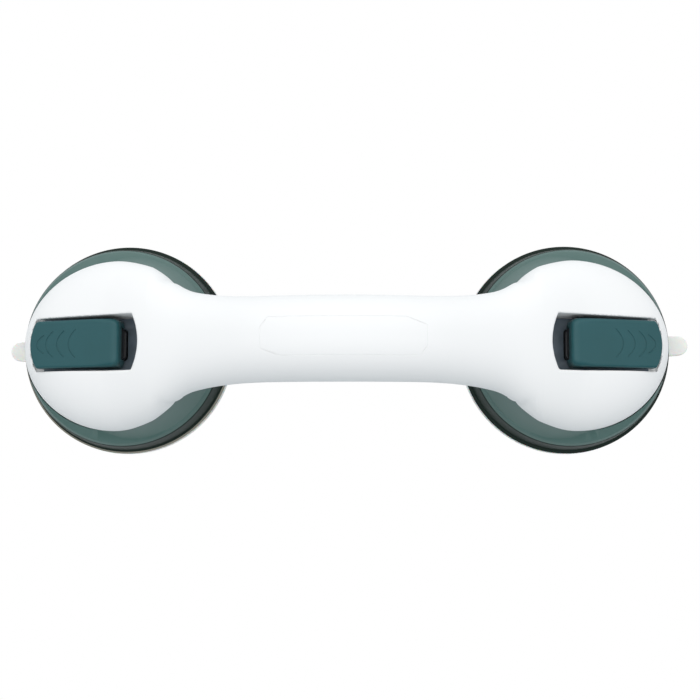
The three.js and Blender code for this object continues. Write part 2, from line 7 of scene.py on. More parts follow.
import itertools
import json
import math

import bmesh
import bpy
import numpy as np
from mathutils import Matrix, Vector


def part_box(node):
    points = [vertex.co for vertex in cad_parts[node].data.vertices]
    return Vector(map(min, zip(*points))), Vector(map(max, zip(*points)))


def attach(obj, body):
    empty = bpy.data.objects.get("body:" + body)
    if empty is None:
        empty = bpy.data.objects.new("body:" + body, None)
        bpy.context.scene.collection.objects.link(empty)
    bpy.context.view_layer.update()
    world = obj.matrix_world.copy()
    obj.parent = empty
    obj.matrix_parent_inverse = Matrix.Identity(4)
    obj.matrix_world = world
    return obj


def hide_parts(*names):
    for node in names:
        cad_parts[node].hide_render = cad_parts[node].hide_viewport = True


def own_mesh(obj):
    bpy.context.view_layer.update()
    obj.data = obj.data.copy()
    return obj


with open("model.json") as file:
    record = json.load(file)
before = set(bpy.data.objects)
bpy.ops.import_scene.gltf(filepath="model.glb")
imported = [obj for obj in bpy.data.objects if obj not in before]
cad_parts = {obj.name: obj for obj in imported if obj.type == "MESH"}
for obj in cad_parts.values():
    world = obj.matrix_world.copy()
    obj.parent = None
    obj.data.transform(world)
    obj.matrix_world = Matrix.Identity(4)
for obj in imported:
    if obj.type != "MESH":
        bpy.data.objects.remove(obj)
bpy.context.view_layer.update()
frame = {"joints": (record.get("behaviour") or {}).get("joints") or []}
MM = 0.001
joints = {joint["name"]: joint for joint in frame["joints"]}

# ---------- driving dimensions, in millimetres ----------
PIN = Vector(joints["right_lever_flip"]["pos_m"]) / MM
CUP_X = PIN.x
PIN_Z = PIN.z
GAP = 0.3  # between neighbouring pieces
WALL = 2.4

# The bar's top line is an arc, then a straight slope down over each cup.
BAR_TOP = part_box("handle_shell")[1].z / MM
ARCH_RADIUS = 108.0
SLOPE_ANGLE = math.radians(23.3)
BAR_RISE = 14.0  # from the bar's widest line up to its top line
BAR_DEPTH = 12.5  # and down to its back
BAR_HALF_WIDTH = 16.9
BAR_ROUNDNESS = 2.3
FLARE_START = 22.0
FLARE_LENGTH = 54.0
FLARE_WIDTH = 8.5
BAR_FADE_START = 76.0  # from here the bar shrinks away inside the hood
BAR_FADE_LENGTH = 34.0
BACK_END = 66.0
PANEL_HALF_LENGTH = 32.0
PANEL_HALF_WIDTH = 7.4
PANEL_CORNER = 3.0
PANEL_LINE_RADIUS = 0.17

# The hood is a dome over an egg-shaped outline, with a sloping lower edge.
HOOD_SHIFT = 1.5
HOOD_OUT = 40.6
HOOD_IN = 34.5
HOOD_HALF_WIDTH = 35.7
HOOD_RISE = 20.3
HOOD_ROUNDNESS = 2.8
HOOD_EDGE_Z = 25.5
HOOD_EDGE_SLOPE = 0.41
HOOD_EDGE_CURVE = 0.003
FIELD_SCALE = 26.0  # makes the hood's formula read in millimetres near its surface
BLEND = 6.0  # how softly bar and hood meet
CREASE_DEPTH = 0.6  # a fine groove follows the meeting line for a few millimetres
CREASE_WIDTH = 0.7
CREASE_START = 66.0
CREASE_END = 76.5
BODY_FLOOR = 9.0  # the body is drawn down to here, then its lower edge is cut

# The recess that each lever lies in.
RECESS_HALF_WIDTH = 11.4
RECESS_INNER = -12.6  # the curved inner end, from the cup's axis, at its middle
RECESS_CORNER = -9.8  # and at its corners
RECESS_TAPER = 0.014  # lost from each side per millimetre outward
RECESS_FLOOR = 29.0
RAMP_START = 14.0
RAMP_SLOPE = 0.124
RIM_SIDE = 0.8  # how soft the recess's long edges are
RIM_END = 0.7
CORNER_SOFTNESS = 0.6
FLOOR_SOFTNESS = 1.0
RECESS_END_GAP = 0.7  # from the lever's tip to the recess's outer end
END_BOW = 2.8  # how far the tip and the recess's end bow outward
PLATE_THICKNESS = 1.0
# the slate plate's painted shade reaches out along the recess's floor to here
PLATE_END = 31.0
RECESS_SHADE_START = 0.1  # how deep the recess's painted shade starts
RECESS_SHADE_FADE = 0.5  # and over what depth it comes in

# Lever, cam and stem.
LEVER_HALF_WIDTH = 9.9
LEVER_TIP = 36.2
LEVER_TOP_RISE = 8.6
LEVER_SLOPE = 0.4
LEVER_SKIN = 2.2
EAR_INNER = 6.7
UNDER_SLOPE = 0.12  # of the lever's underside, beyond the cam
CHEVRONS = ((3.3, 7.6), (7.5, 10.5), (12.6, 10.8), (17.9, 11.7))  # each one's apex from the tip, and width
CHEVRON_SWEEP = 3.3
CHEVRON_RADIUS = 0.27
CAM_PER_RADIAN = 1.9
CAM_LOCKED = PIN_Z - RECESS_FLOOR - PLATE_THICKNESS - GAP
PIN_RADIUS = 2.0
STEM_HALF_WIDTH = 6.3
EYE_RADIUS = 4.3
NECK_HALF = 3.0
BLOCK_HALF = 4.3
BLOCK_BOTTOM = 27.9
BLOCK_TOP = 33.0
SHANK_RADIUS = 4.3
SHAFT_HOLE = SHANK_RADIUS + GAP
DISC_RADIUS = 13.0
DISC_BOTTOM = 6.5
DISC_TOP = 9.0

# Cup base, pad and screws.
DECK_TOP = 24.5
DECK_BOTTOM = 22.0
FLANGE_RADIUS = 45.3
FLANGE_TOP = 6.1
SHADE_BAND_RADIUS = 41.2  # the ring's painted shade band is outside this radius
SHADE_BAND_TOP = 17.9  # and below this height
SHADED_LIP_RADIUS = 44.6  # the left flange's rim with painted shade, likewise
SHADED_LIP_TOP = 6.7
PAD_RADIUS = 45.6
TAB_END = {"left": 52.6, "right": 54.5}
TAB_ROOT = 41.0
TAB_HALF_WIDTH = 4.2
TAB_TURN = {"left": 0.7, "right": 2.0}  # degrees
BASE_SCREWS = [(-16, 20), (-16, -20), (14, 20), (14, -20)]
BACK_SCREWS = [-50, -18, 18, 50]
BACK_SCREW_SINK = 4.0
SCREW_HOLE = 1.8
HEAD_HOLE = 3.3
BOSS_RADIUS = 3.6
SIDES = ("left", "right")

# How finely each surface is drawn: the size of a cell.
SHELL_CELL = 0.72
HOLLOW_CELL = 1.35
BACK_CELL = 0.9
ROOM_CELL = 1.5
SKIRT_CELL = 1.1
LEVER_CELL = 0.36
STEM_CELL = 0.4

# The sky brightens toward its axis. The floor reaches far enough to have no edge in view.
SKY_AXIS = (0.0, 0.3, 0.954)
SKY_STRENGTH = 1.32
FLOOR_REACH = 3000.0


# ---------- materials ----------
def linear(hex_colour):
    """An sRGB hex colour as linear RGBA."""
    channels = [int(hex_colour[i : i + 2], 16) / 255 for i in (1, 3, 5)]
    return tuple(c / 12.92 if c <= 0.04045 else ((c + 0.055) / 1.055) ** 2.4 for c in channels) + (1.0,)


def add_node(tree, kind, settings=None, values=None, links=None):
    """A new node with its settings, its input values and the sockets that feed it."""
    node = tree.nodes.new(kind)
    for name, value in (settings or {}).items():
        setattr(node, name, value)
    for name, value in (values or {}).items():
        node.inputs[name].default_value = value
    for name, source in (links or {}).items():
        tree.links.new(source, node.inputs[name])
    return node


def empty_tree(owner):
    """A material's or world's own node tree, with nothing in it."""
    owner.use_nodes = True
    owner.node_tree.nodes.clear()
    return owner.node_tree


def finish_material(name, shader, colours, mottle, grain, depth, roughness, recess_shade=None):
    """A Principled material on Object coordinates.

    Two close colours drift over patches of mottle millimetres; the surface has grains of grain millimetres
    and depth millimetres; roughness drifts between two values over the same patches. A painted shade colour
    takes over where the mesh's shade attribute says.
    """
    material = bpy.data.materials.new(name)
    tree = empty_tree(material)
    place = add_node(tree, "ShaderNodeTexCoord").outputs["Object"]
    patch_values = {"Scale": 1 / (mottle * MM), "Detail": 3.0}
    patches = add_node(tree, "ShaderNodeTexNoise", values=patch_values, links={"Vector": place})
    patches = patches.outputs["Fac"]
    ramp = add_node(tree, "ShaderNodeValToRGB", links={"Fac": patches})
    for stop, position, colour in zip(ramp.color_ramp.elements, (0.3, 0.7), colours):
        stop.position = position
        stop.color = linear(colour)
    colour = ramp.outputs["Color"]
    if recess_shade:
        # This attribute carries the painted shade on the recess's walls and floor.
        share = add_node(tree, "ShaderNodeAttribute", {"attribute_name": "recess_shade"}).outputs["Fac"]
        # A colour mix takes its share at socket 0 and its colours at 6 and 7, and gives a colour at 2.
        links = {0: share, 6: colour}
        colour = add_node(tree, "ShaderNodeMix", {"data_type": "RGBA"}, {7: linear(recess_shade)}, links).outputs[2]
    gloss_values = {"From Min": 0.3, "From Max": 0.7, "To Min": roughness[0], "To Max": roughness[1]}
    gloss = add_node(tree, "ShaderNodeMapRange", values=gloss_values, links={"Value": patches})
    grain_values = {"Scale": 1 / (grain * MM), "Detail": 2.0}
    grains = add_node(tree, "ShaderNodeTexNoise", values=grain_values, links={"Vector": place})
    bump_values = {"Strength": 1.0, "Distance": depth * MM}
    bump = add_node(tree, "ShaderNodeBump", values=bump_values, links={"Height": grains.outputs["Fac"]})
    links = {"Base Color": colour, "Roughness": gloss.outputs["Result"], "Normal": bump.outputs["Normal"]}
    principled = add_node(tree, "ShaderNodeBsdfPrincipled", values=shader, links=links)
    add_node(tree, "ShaderNodeOutputMaterial", links={"Surface": principled.outputs["BSDF"]})
    return material


# Polished injection-moulded ABS: clear gloss with the faint orange peel of a polished tool. The recess in
# each hood has painted shade: its walls and floor turn dark slate grey from just below the rim.
glossy_white_abs = finish_material(
    "glossy white ABS", {"IOR": 1.53, "Coat Weight": 0.25, "Coat Roughness": 0.06},
    ("#dff6fa", "#e4f8fb"), mottle=30, grain=2.5, depth=0.006, roughness=(0.16, 0.22), recess_shade="#3a434b",
)
# Green ABS from a spark-eroded tool: an even satin. Its 0.1 mm grain is drawn at 0.35 mm so that it shows.
satin_green_abs = finish_material(
    "satin green ABS", {"IOR": 1.53},
    ("#44605b", "#496560"), mottle=25, grain=0.35, depth=0.006, roughness=(0.34, 0.42),
)
# The band round each ring's foot is the same green ABS painted dark and with little reflection: painted
# shade.
shaded_green_abs = finish_material(
    "shaded green ABS", {"IOR": 1.53, "Specular IOR Level": 0.1},
    ("#15221d", "#192620"), mottle=25, grain=0.35, depth=0.006, roughness=(0.36, 0.44),
)
# The levers are from a finer tool, a little bluer and smoother.
lever_green_abs = finish_material(
    "lever green ABS", {"IOR": 1.53, "Specular IOR Level": 0.3},
    ("#1c4b4f", "#204f54"), mottle=20, grain=0.3, depth=0.004, roughness=(0.32, 0.4),
)
# A lip of TPR on the rim of the left ring's flange, along its -Y half, painted the brown-grey of the clear
# TPR in shade: painted shade.
shaded_tpr = finish_material(
    "shaded TPR", {"IOR": 1.5},
    ("#807d70", "#8a8678"), mottle=12, grain=0.6, depth=0.008, roughness=(0.45, 0.55),
)
# Soft clear-white TPR, moulded: light passes a few millimetres into it.
clear_white_tpr = finish_material(
    "clear white TPR",
    {"IOR": 1.5, "Subsurface Weight": 0.25, "Subsurface Scale": 3 * MM, "Transmission Weight": 0.08},
    ("#e6e6e1", "#edede9"), mottle=12, grain=0.6, depth=0.008, roughness=(0.36, 0.5),
)
# Black acetal: waxy, between satin and gloss.
black_acetal = finish_material(
    "black acetal", {"IOR": 1.48},
    ("#141517", "#1b1c1f"), mottle=8, grain=0.4, depth=0.004, roughness=(0.3, 0.4),
)
# Sheet acetal in slate grey, with the faint haze that a rubbing cam leaves. Its dark grey is painted shade
# for the recess's floor.
slate_shade_acetal = finish_material(
    "slate shade acetal", {"IOR": 1.48},
    ("#5d6a75", "#6c7a86"), mottle=5, grain=0.5, depth=0.004, roughness=(0.38, 0.5),
)
# Bright zinc plate over drawn or pressed steel, slightly clouded.
zinc_steel = finish_material(
    "bright zinc steel", {"Metallic": 1.0},
    ("#b4b7bb", "#c6c8cb"), mottle=2.5, grain=0.4, depth=0.003, roughness=(0.24, 0.36),
)


# ---------- mesh making ----------
def new_object(name, data):
    """An object in the scene that holds a mesh, lamp or camera."""
    thing = bpy.data.objects.new(name, data)
    bpy.context.scene.collection.objects.link(thing)
    return thing


def make_object(name, points, faces, edges=()):
    """A mesh object from points in millimetres."""
    mesh = bpy.data.meshes.new(name)
    corners = [list(map(int, face)) for face in faces]
    mesh.from_pydata((np.asarray(points, float) * MM).tolist(), list(edges), corners)
    return new_object(name, mesh)


def tidy_mesh(thing):
    """Merges doubles, closes seams and turns the faces outward."""
    shape = bmesh.new()
    shape.from_mesh(thing.data)
    bmesh.ops.remove_doubles(shape, verts=shape.verts, dist=1e-7)
    bmesh.ops.dissolve_degenerate(shape, edges=shape.edges, dist=1e-8)
    bmesh.ops.recalc_face_normals(shape, faces=shape.faces)
    shape.to_mesh(thing.data)
    shape.free()
    return thing


def settle(thing):
    """Turns an object with modifiers into a plain mesh."""
    graph = bpy.context.evaluated_depsgraph_get()
    mesh = bpy.data.meshes.new_from_object(thing.evaluated_get(graph))
    thing.modifiers.clear()
    thing.data = mesh
    return thing


def combine(thing, operation, *tools):
    """Joins or cuts a closed mesh with others, which are used up."""
    for tool in tools:
        step = thing.modifiers.new(operation, "BOOLEAN")
        step.operation = operation
        step.solver = "MANIFOLD"
        step.object = tool
        settle(thing)
        bpy.data.objects.remove(tool)
    return thing


def bevelled(thing, width, segments):
    """Rounds a piece's sharp edges."""
    edge = thing.modifiers.new("edge", "BEVEL")
    edge.width = width * MM
    edge.segments = segments
    edge.limit_method = "ANGLE"
    return settle(thing)


def smooth(thing, angle=32):
    """Smooth shading, with edges sharper than the angle kept crisp."""
    thing.data.shade_smooth()
    thing.data.set_sharp_from_angle(angle=math.radians(angle))
    return thing


def prism(outline, low, high, axis):
    """An outline drawn on the two other axes, carried along an axis from low to high."""
    across = [i for i in range(3) if i != axis]
    count = len(outline)
    points = np.zeros((2 * count, 3))
    for layer, place in enumerate((low, high)):
        points[layer * count : (layer + 1) * count, across] = outline
        points[layer * count : (layer + 1) * count, axis] = place
    faces = [list(range(count)), list(range(count, 2 * count))]
    faces += [[i, (i + 1) % count, count + (i + 1) % count, count + i] for i in range(count)]
    return tidy_mesh(make_object("prism", points, faces))


def loft(rows, name="loft"):
    """Closed rows of points joined in order, the last one to the first."""
    rows = np.asarray(rows, float)
    total, count = rows.shape[:2]
    faces = []
    for i in range(total):
        row, following = i * count, (i + 1) % total * count
        for j in range(count):
            beside = (j + 1) % count
            faces.append([row + j, row + beside, following + beside, following + j])
    return tidy_mesh(make_object(name, rows.reshape(-1, 3), faces))


def fillet(corners, steps=5):
    """A closed outline of (first, second, radius) corners, each rounded by its radius."""
    outline = []
    for i, (x, y, radius) in enumerate(corners):
        corner = np.array([x, y], float)
        if not radius:
            outline.append(corner)
            continue
        back = np.array(corners[i - 1][:2]) - corner
        on = np.array(corners[(i + 1) % len(corners)][:2]) - corner
        back_length, on_length = np.linalg.norm(back), np.linalg.norm(on)
        back, on = back / back_length, on / on_length
        half = math.acos(np.clip(back @ on, -1, 1)) / 2
        reach = min(radius / math.tan(half), 0.49 * back_length, 0.49 * on_length)
        first, last = corner + back * reach, corner + on * reach
        # A quadratic curve along the corner's two tangents is as good as an arc at these sizes.
        for t in np.linspace(0, 1, steps):
            outline.append((1 - t) ** 2 * first + 2 * t * (1 - t) * corner + t**2 * last)
    return np.array(outline)


def whole_turn(segments):
    """Even angles once round."""
    return np.linspace(0, 2 * math.pi, segments, endpoint=False)


def turned(profile, segments, x=CUP_X, steps=5):
    """A closed outline of (radius, height, rounding) corners turned about the cup's axis, or one at x."""
    radius, height = fillet(profile, steps).T
    rows = [
        np.stack([x + radius * math.cos(angle), radius * math.sin(angle), height], -1)
        for angle in whole_turn(segments)
    ]
    return loft(rows, "turned")


def circle(radius, x, y, segments):
    """Points once round a circle about (x, y)."""
    angles = whole_turn(segments)
    return np.stack([x + radius * np.cos(angles), y + radius * np.sin(angles)], -1)


def rod(radius, low, high, x, y):
    """A rod along Z."""
    return prism(circle(radius, x, y, 32), low, high, 2)


def cross_rod(radius, half):
    """A rod across the cup at the pin's place."""
    return prism(circle(radius, CUP_X, PIN_Z, 48), -half, half, 1)


def gradient(field, points, reach=0.02):
    """How fast a field changes along X, Y and Z at some points."""
    slopes = []
    for axis in np.eye(3) * reach:
        ahead, behind = points + axis, points - axis
        slopes.append((field(*ahead.T) - field(*behind.T)) / (2 * reach))
    return np.stack(slopes, -1)


def boxed(field, low, high):
    """A field cut off at the sides of a box."""

    def cut(x, y, z):
        value = field(x, y, z)
        for place, least, most in zip((x, y, z), low, high):
            value = np.maximum(value, np.maximum(least - place, place - most))
        return value

    return cut


def surface_net(name, field, low, high, step):
    """A closed mesh over a field's zero surface: one corner in each cell that the surface crosses."""
    axes = [np.arange(a, b + step, step) for a, b in zip(low, high)]
    field = boxed(field, np.array(low) + step, np.array([axis[-1] for axis in axes]) - step)
    value = field(*np.meshgrid(*axes, indexing="ij"))
    inside = value < 0
    size = np.array(value.shape) - 1
    filled = np.zeros(size, int)
    for corner in itertools.product((0, 1), repeat=3):
        filled += inside[tuple(slice(c, c + n) for c, n in zip(corner, size))]
    cells = np.argwhere((filled > 0) & (filled < 8))
    number = np.full(size, -1)
    number[tuple(cells.T)] = np.arange(len(cells))
    total, crossings = np.zeros((len(cells), 3)), np.zeros((len(cells), 1))
    for axis, unit in enumerate(np.eye(3, dtype=int)):
        for corner in itertools.product((0, 1), repeat=3):
            if corner[axis]:
                continue
            start = cells + corner
            first, last = value[tuple(start.T)], value[tuple((start + unit).T)]
            crossed = (first < 0) != (last < 0)
            share = np.where(crossed, first / np.where(crossed, first - last, 1), 0)
            total += (start + share[:, None] * unit) * crossed[:, None]
            crossings += crossed[:, None]
    points = np.array(low) + step * total / crossings
    for _ in range(4):
        slope = gradient(field, points)
        move = -field(*points.T)[:, None] * slope / np.maximum((slope**2).sum(1), 0.05)[:, None]
        length = np.linalg.norm(move, axis=1)[:, None]
        points += move * np.minimum(1, 0.5 * step / np.maximum(length, 1e-9))
    faces = []
    for axis, unit in enumerate(np.eye(3, dtype=int)):
        first, second = np.eye(3, dtype=int)[[(axis + 1) % 3, (axis + 2) % 3]]
        low_end = inside[tuple(slice(0, -1) if i == axis else slice(None) for i in range(3))]
        high_end = inside[tuple(slice(1, None) if i == axis else slice(None) for i in range(3))]
        edges = np.argwhere(low_end != high_end)
        around = [edges - first - second, edges - second, edges, edges - first]
        quads = np.stack([number[tuple(cell.T)] for cell in around], -1)
        outward = low_end[tuple(edges.T)]
        quads[~outward] = quads[~outward][:, ::-1]
        faces.append(quads)
    return make_object(name, points, np.concatenate(faces))


def soft_max(first, second, softness):
    """The larger of two fields, rounded off over a width of softness where they meet."""
    near = np.maximum(softness - np.abs(first - second), 0)
    return np.maximum(first, second) + near**2 / (4 * softness)


def soft_min(first, second, softness):
    """The smaller of two fields, rounded off in the same way."""
    return -soft_max(-first, -second, softness)


def true_normals(thing, field):
    """Takes the shading normals from a field where the mesh lies on its surface, for an even reflection."""
    mesh = thing.data
    points = np.empty(len(mesh.vertices) * 3)
    mesh.vertices.foreach_get("co", points)
    points = points.reshape(-1, 3) / MM
    slope = gradient(field, points)
    slope /= np.maximum(np.linalg.norm(slope, axis=1), 1e-9)[:, None]
    on_surface = np.abs(field(*points.T)) < 0.02
    corner_points = np.empty(len(mesh.loops), int)
    mesh.loops.foreach_get("vertex_index", corner_points)
    facing = np.empty(len(mesh.polygons) * 3)
    mesh.polygons.foreach_get("normal", facing)
    sizes = np.empty(len(mesh.polygons), int)
    mesh.polygons.foreach_get("loop_total", sizes)
    facing = np.repeat(facing.reshape(-1, 3), sizes, axis=0)
    face_of = np.repeat(np.arange(len(sizes)), sizes)
    good = on_surface[corner_points] & ((facing * slope[corner_points]).sum(1) > 0.8)
    whole = np.bincount(face_of, ~good) == 0
    normals = np.where(whole[face_of][:, None], slope[corner_points], 0.0)
    mesh.normals_split_custom_set(normals.tolist())
    return thing


def place_at(thing, name, side):
    """A copy of a right-cup piece at either cup."""
    mesh = thing.data.copy()
    if side == "left":
        mesh.transform(Matrix.Rotation(math.pi, 4, "Z"))
    return new_object(name, mesh)


def declare(thing, body, slot, *nodes):
    """Says which body a piece rides on and the frame's nodes that it stands for, which it hides. Its slot is
    not used.
    """
    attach(thing, body)
    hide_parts(*nodes)
    return thing


def both_cups(pattern, thing, material, body, slot):
    """The same piece at both cups: {} in the names stands for the side."""
    thing.data.materials.clear()
    thing.data.materials.append(material)
    copies = {}
    for side in SIDES:
        name = pattern.format(side)
        copy = place_at(thing, f"{name}_visual", side)
        copies[side] = declare(copy, body.format(side), slot, name)
    bpy.data.objects.remove(thing)
    return copies


# ---------- the white body's surface ----------
def top_line(a):
    """The height of the bar's top, a millimetres from its middle."""
    arc_end = ARCH_RADIUS * math.sin(SLOPE_ANGLE)
    arc = BAR_TOP - ARCH_RADIUS + np.sqrt(ARCH_RADIUS**2 - np.minimum(a, arc_end) ** 2)
    return arc - math.tan(SLOPE_ANGLE) * np.maximum(a - arc_end, 0)


def widest_line(a):
    """Where the bar is widest, and where its back cover meets the white shell."""
    return top_line(a) - BAR_RISE


def hood_edge(a):
    """The height of the hood's lower edge."""
    u = a - CUP_X
    return HOOD_EDGE_Z - HOOD_EDGE_SLOPE * u + HOOD_EDGE_CURVE * u**2


def bar_field(x, y, z):
    """About the distance in millimetres to the bar, negative inside."""
    a = np.abs(x)
    flare = np.maximum(0, (a - FLARE_START) / FLARE_LENGTH) ** 3
    fade = np.sqrt(np.maximum(1e-4, 1 - np.maximum(0, (a - BAR_FADE_START) / BAR_FADE_LENGTH) ** 2))
    width = (BAR_HALF_WIDTH + FLARE_WIDTH * np.minimum(flare, 1.2)) * fade
    rise = z - widest_line(a)
    height = np.where(rise > 0, BAR_RISE, BAR_DEPTH) * fade
    n = BAR_ROUNDNESS
    section = ((np.abs(y / width) ** n + np.abs(rise / height) ** n) ** (1 / n) - 1) * BAR_RISE
    return np.maximum(section, a - BAR_FADE_START - BAR_FADE_LENGTH)


def hood_field(x, y, z):
    """About the distance in millimetres to the hoods."""
    a = np.abs(x)
    u = a - CUP_X - HOOD_SHIFT
    plan = np.hypot(u / np.where(u > 0, HOOD_OUT, HOOD_IN), y / HOOD_HALF_WIDTH)
    rise = np.maximum(0, (z - hood_edge(a)) / HOOD_RISE)
    n = HOOD_ROUNDNESS
    return ((plan**n + rise**n) ** (1 / n) - 1) * FIELD_SCALE


def body_field(x, y, z):
    """The bar and hoods as one surface, with the groove along their meeting line."""
    a, bar, hood = np.abs(x), bar_field(x, y, z), hood_field(x, y, z)
    groove = CREASE_DEPTH * np.exp(-(((bar - hood) / CREASE_WIDTH) ** 2))
    groove *= np.clip((a - CREASE_START) / 2, 0, 1) * np.clip((CREASE_END - a) / 4, 0, 1)
    return soft_min(bar, hood, BLEND) + groove


def recess_parts(x, y, z, margin):
    """Distances past the recess's sides, its curved inner end, its bowed outer end and its floor."""
    u = np.abs(x) - CUP_X
    across = (y / RECESS_HALF_WIDTH) ** 2
    inner = RECESS_INNER + (RECESS_CORNER - RECESS_INNER) * across
    outer = LEVER_TIP + RECESS_END_GAP - END_BOW * across
    floor = RECESS_FLOOR - RAMP_SLOPE * np.maximum(0, u - RAMP_START)
    half_width = RECESS_HALF_WIDTH - RECESS_TAPER * np.maximum(0, u)
    return np.abs(y) - half_width - margin, inner - margin - u, u - outer - margin, floor - margin - z


def recessed_body(x, y, z):
    """The body with its two recesses. Their long edges are softer than the ends'."""
    side, inner, outer, floor = recess_parts(x, y, z, 0)
    end = np.maximum(inner, outer)
    recess = soft_max(soft_max(side, end, CORNER_SOFTNESS), floor, FLOOR_SOFTNESS)
    toward_end = np.clip((end - side + 2) / 3, 0, 1)
    softness = RIM_SIDE + (RIM_END - RIM_SIDE) * toward_end
    return soft_max(body_field(x, y, z), -recess, softness)


BODY_LOW = (-143.0, -38.0, 7.5)  # the box that the body is drawn in
BODY_HIGH = (143.0, 38.0, 80.0)
GRIP_BOSS_BOTTOM = 40.0  # a boss under the bar stands above this height
FAR_INSIDE = -50.0  # a field value deeper than any wall


def closed_below(field):
    """The same field, cut off at the body's floor."""
    return lambda x, y, z: np.maximum(field(x, y, z), BODY_FLOOR - z)


def hollow_field(x, y, z):
    """The room inside the white body, around the recess's walls and the screw bosses."""
    walls = np.max(np.stack(recess_parts(x, y, z, WALL - 0.2)), axis=0)
    room = np.maximum(body_field(x, y, z) + WALL, -walls)
    for u, across in BASE_SCREWS:
        boss = np.hypot(np.abs(x) - CUP_X - u, y - across) - BOSS_RADIUS
        room = np.maximum(room, np.where(z > DECK_TOP + GAP, -boss, FAR_INSIDE))
    for along in BACK_SCREWS:
        boss = np.hypot(x - along, y) - BOSS_RADIUS
        room = np.maximum(room, np.where(z > GRIP_BOSS_BOTTOM, -boss, FAR_INSIDE))
    return room


def below_edge(shift=0.0):
    """Everything under the white shell's lower edge, moved up by shift."""
    xs = np.concatenate([np.arange(0, BACK_END, 2.0), [BACK_END], np.arange(BACK_END + 0.001, 150, 1.5)])
    heights = np.where(xs <= BACK_END, widest_line(xs), hood_edge(xs)) + shift
    right = np.stack([xs, heights], -1)
    left = right[:0:-1] * [-1, 1]
    outline = np.concatenate([left, right, [[xs[-1], -20], [-xs[-1], -20]]])
    return prism(outline, -60, 60, 1)


def stem_hole():
    """The outline of the hole that the stem's block slides in."""
    return fillet(rectangle(BLOCK_HALF + GAP, STEM_HALF_WIDTH + GAP, 1.8)) + [CUP_X, 0]


def line_recess(shell):
    """Paints shade on the recess's walls and floor: none at the rim, all of it from a little below it."""
    points = np.array([vertex.co[:] for vertex in shell.data.vertices]) / MM
    depth = -body_field(*points.T)
    on_recess = np.abs(np.max(np.stack(recess_parts(*points.T, 0)), axis=0)) < 0.5
    share = np.where(on_recess, np.clip((depth - RECESS_SHADE_START) / RECESS_SHADE_FADE, 0, 1), 0.0)
    shell.data.attributes.new("recess_shade", "FLOAT", "POINT").data.foreach_set("value", share)


def handle_shell():
    """The white shell, bar and both hoods in one, with the wall and bosses left by its hollow."""
    shell = surface_net("handle_shell_visual", closed_below(recessed_body), BODY_LOW, BODY_HIGH, SHELL_CELL)
    hollow = surface_net("hollow", closed_below(hollow_field), BODY_LOW, BODY_HIGH, HOLLOW_CELL)
    combine(shell, "DIFFERENCE", below_edge(), hollow)
    for sign in (-1, 1):
        combine(shell, "DIFFERENCE", prism(stem_hole() * [sign, 1], 22, 33, 2))
    combine(shell, "DIFFERENCE", panel_groove())
    smooth(shell, 40)
    true_normals(shell, recessed_body)
    line_recess(shell)
    shell.data.materials.append(glossy_white_abs)
    return declare(shell, "handle", "white_shell", "handle_shell")


# ---------- node trees that make meshes ----------
def start_tree(name, kinds):
    """A Geometry Nodes tree that takes geometry, a material and other named inputs, and gives geometry."""
    tree = bpy.data.node_groups.new(name, "GeometryNodeTree")
    for label, kind in {"Geometry": "Geometry", **kinds, "Material": "Material"}.items():
        tree.interface.new_socket(label, in_out="INPUT", socket_type=f"NodeSocket{kind}")
    tree.interface.new_socket("Geometry", in_out="OUTPUT", socket_type="NodeSocketGeometry")
    return tree, add_node(tree, "NodeGroupInput").outputs


def end_tree(tree, geometry, material):
    """Makes instances real, gives them the material and hands them out."""
    real = add_node(tree, "GeometryNodeRealizeInstances", links={"Geometry": geometry}).outputs["Geometry"]
    links = {"Geometry": real, "Material": material}
    painted = add_node(tree, "GeometryNodeSetMaterial", links=links)
    add_node(tree, "NodeGroupOutput", links={"Geometry": painted.outputs["Geometry"]})
    return tree


def wire_tree():
    """Sweeps a round section along the edges of a mesh."""
    tree, given = start_tree("swept wire", {"Wire radius": "Float", "Sides": "Int"})
    path = add_node(tree, "GeometryNodeMeshToCurve", links={"Mesh": given["Geometry"]}).outputs["Curve"]
    links = {"Radius": given["Wire radius"], "Resolution": given["Sides"]}
    section = add_node(tree, "GeometryNodeCurvePrimitiveCircle", links=links).outputs["Curve"]
    links = {"Curve": path, "Profile Curve": section}
    swept = add_node(tree, "GeometryNodeCurveToMesh", values={"Fill Caps": True}, links=links)
    return end_tree(tree, swept.outputs["Mesh"], given["Material"])


def use_tree(thing, tree, **inputs):
    """Runs a node tree on an object with its inputs, named with spaces as underscores, then settles it."""
    step = thing.modifiers.new(tree.name, "NODES")
    step.node_group = tree
    sockets = {item.name: item.identifier for item in tree.interface.items_tree if item.in_out == "INPUT"}
    for name, value in inputs.items():
        step[sockets[name.replace("_", " ")]] = value
    return settle(thing)


swept_wire = wire_tree()
GROOVE_LIFT = 0.02  # a groove's middle lies this far over the surface


def wire(path, radius, sides, closed=False):
    """A round wire along a path of points."""
    count = len(path)
    edges = [(i, (i + 1) % count) for i in range(count if closed else count - 1)]
    thing = make_object("wire", path, [], edges)
    use_tree(thing, swept_wire, Wire_radius=radius * MM, Sides=sides)
    return tidy_mesh(thing)


def rectangle(half_x, half_y, corner):
    """The corners of a rectangle about the origin, each with its rounding."""
    return [(x * half_x, y * half_y, corner) for x, y in ((-1, -1), (1, -1), (1, 1), (-1, 1))]


